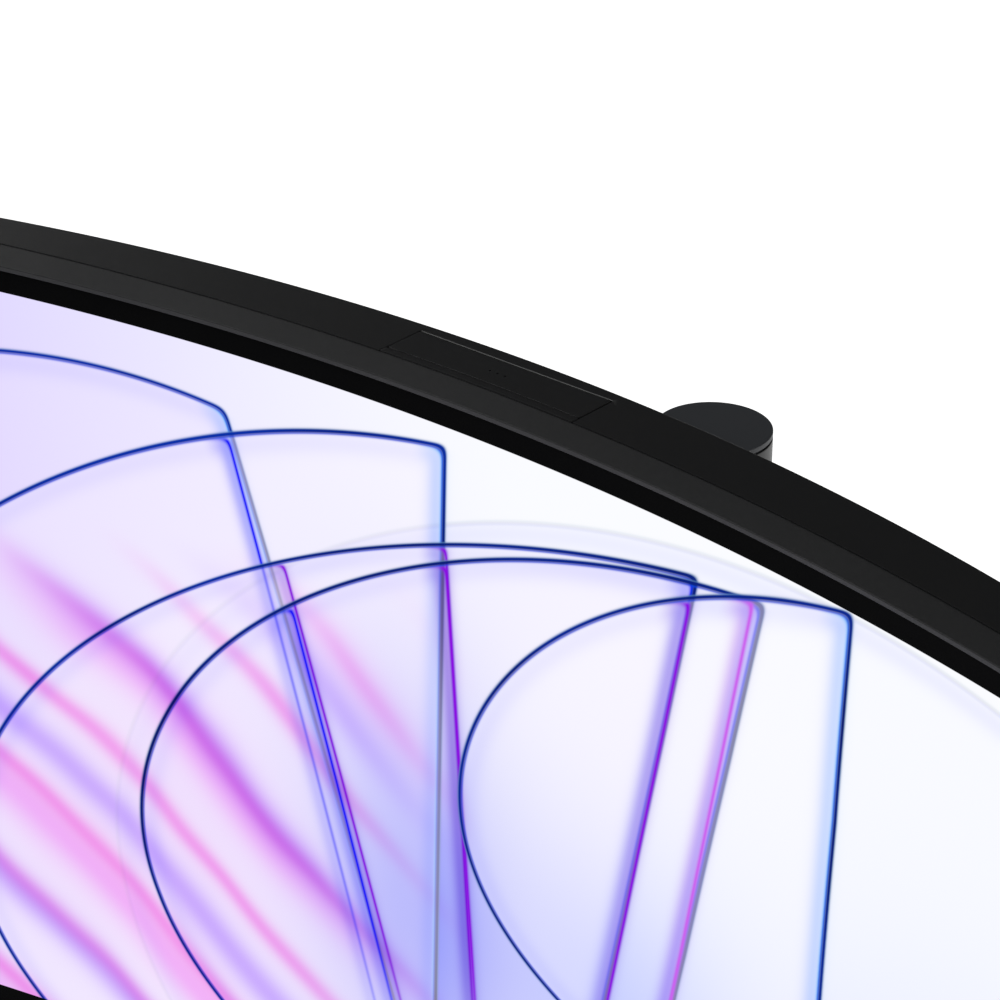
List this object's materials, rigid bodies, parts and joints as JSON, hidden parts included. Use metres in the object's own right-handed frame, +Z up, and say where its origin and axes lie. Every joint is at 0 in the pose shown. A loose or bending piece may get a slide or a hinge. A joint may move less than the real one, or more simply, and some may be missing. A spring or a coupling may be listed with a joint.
{
  "type": "computer monitor",
  "caption": "Curved widescreen computer monitor with a pop-up camera, on a round pillar stand that swivels, tilts and adjusts in height.",
  "frame": {"origin": "on the desk, under the centre of the monitor's box", "axes": "+X to the viewer's right, +Y away from the viewer, +Z up; the screen faces -Y"},
  "size_m": [0.827, 0.2764, 0.499],
  "materials": {
    "frame_plastic": "satin, finely textured",
    "screen_glass": "smooth, lit from behind",
    "film": "matt white",
    "light_guide": "clear, polished",
    "led_strip": "matt",
    "sheet_steel": "zinc plated",
    "cover_plastic": "satin, finely textured",
    "circuit_board": "solder mask",
    "power_circuit_board": "paper laminate",
    "electronic_parts": "moulded",
    "ribbon": "smooth film",
    "port_plate": "satin",
    "socket_shell": "tin plated",
    "usb_socket": "moulded",
    "socket_plastic": "moulded",
    "speaker_box": "moulded",
    "led_lens": "clear",
    "screw_steel": "black oxide",
    "spring_steel": "polished",
    "camera_plastic": "satin, finely textured",
    "camera_window": "polished, dark",
    "lens_glass": "coated",
    "jog_metal": "plated",
    "mount_metal": "powder coated",
    "cast_aluminium": "as cast",
    "pillar_paint": "satin black",
    "cap_paint": "satin black",
    "base_paint": "satin black",
    "clip_rubber": "matt",
    "foot_rubber": "matt"
  },
  "bodies": {
    "base": {"base_cover": "base_paint", "base_plate": "sheet_steel", "base_feet": "foot_rubber", "swivel_shaft": "jog_metal", "swivel_rings": "jog_metal"},
    "pillar": {"pillar_tube": "pillar_paint", "pillar_cap": "cap_paint", "pillar_foot": "base_paint", "guide_rods": "spring_steel", "spring_hanger": "speaker_box", "spring_band": "spring_steel", "cable_clip": "clip_rubber"},
    "drum": {"spring_drum": "jog_metal"},
    "carriage": {"carriage": "cast_aluminium", "head_arm": "cast_aluminium", "arm_shroud": "speaker_box"},
    "camera": {"camera_shell": "camera_plastic", "camera_window": "camera_window", "camera_lens_barrel": "socket_plastic", "camera_lens": "lens_glass", "camera_board": "circuit_board"},
    "gimbal": {"jog_gimbal": "jog_metal"},
    "stick": {"jog_stick": "jog_metal"},
    "joystick_cap": {"jog_cap": "cover_plastic"},
    "latch": {"release_latch": "speaker_box"},
    "head": {"front_frame": "frame_plastic", "lcd_cell": "screen_glass", "optical_films": "film", "light_guide": "light_guide", "led_bar": "led_strip", "panel_back_plate": "sheet_steel", "rear_cover": "cover_plastic", "rear_housing": "cover_plastic", "vesa_bracket": "sheet_steel", "chassis_plate": "sheet_steel", "chassis_posts": "sheet_steel", "main_board": "circuit_board", "main_board_parts": "electronic_parts", "power_board": "power_circuit_board", "power_board_parts": "electronic_parts", "panel_cable": "ribbon", "port_plate": "port_plate", "power_inlet": "socket_plastic", "hdmi_socket": "socket_shell", "display_socket": "socket_shell", "usb_c_socket": "socket_shell", "usb_a_sockets": "usb_socket", "lan_socket": "socket_shell", "headphone_socket": "socket_plastic", "speaker_left": "speaker_box", "speaker_right": "speaker_box", "lock_plate": "sheet_steel", "power_led": "led_lens", "cover_screws": "screw_steel", "camera_guide": "speaker_box", "camera_springs": "spring_steel", "jog_base": "speaker_box", "mount_plate": "mount_metal", "hinge_shaft": "spring_steel", "hinge_washers": "jog_metal"}
  },
  "joints": [
    {"name": "swivel", "type": "hinge", "parent": "base", "child": "pillar", "pos_m": [0, 0.09219, 0], "axis": [0, 0, 1], "range_deg": [-30, 30]},
    {"name": "height", "type": "slide", "parent": "pillar", "child": "carriage", "axis": [0, 0, 1], "range_m": [-0.06, 0.06], "deforming": ["spring_band"]},
    {"name": "lift_spring_turn", "type": "hinge", "parent": "pillar", "child": "drum", "pos_m": [0, 0.09219, 0.4112], "axis": [1, 0, 0], "range_deg": [-345, 345]},
    {"name": "tilt", "type": "hinge", "parent": "carriage", "child": "head", "pos_m": [0, 0.04819, 0.314], "axis": [-1, 0, 0], "range_deg": [-5, 22]},
    {"name": "camera_lift", "type": "slide", "parent": "head", "child": "camera", "axis": [0, 0, 1], "range_m": [0, 0.027], "deforming": ["camera_springs"]},
    {"name": "joystick_fore_aft", "type": "hinge", "parent": "head", "child": "gimbal", "pos_m": [0, -0.03131, 0.13155], "axis": [1, 0, 0], "range_deg": [-7, 7], "stiffness_Nm_per_rad": 0.05},
    {"name": "joystick_side", "type": "hinge", "parent": "gimbal", "child": "stick", "pos_m": [0, -0.03131, 0.13155], "axis": [0, 1, 0], "range_deg": [-7, 7], "stiffness_Nm_per_rad": 0.05},
    {"name": "joystick_press", "type": "slide", "parent": "stick", "child": "joystick_cap", "axis": [0, 0, 1], "range_m": [0, 0.0008], "stiffness_N_per_m": 1500, "springref_m": -0.0002},
    {"name": "latch_press", "type": "slide", "parent": "head", "child": "latch", "axis": [0, 0, 1], "range_m": [0, 0.003], "stiffness_N_per_m": 300, "springref_m": -0.002}
  ],
  "couplings": [
    {"joint": "lift_spring_turn", "follows": "height", "rad_per_m": -98}
  ]
}
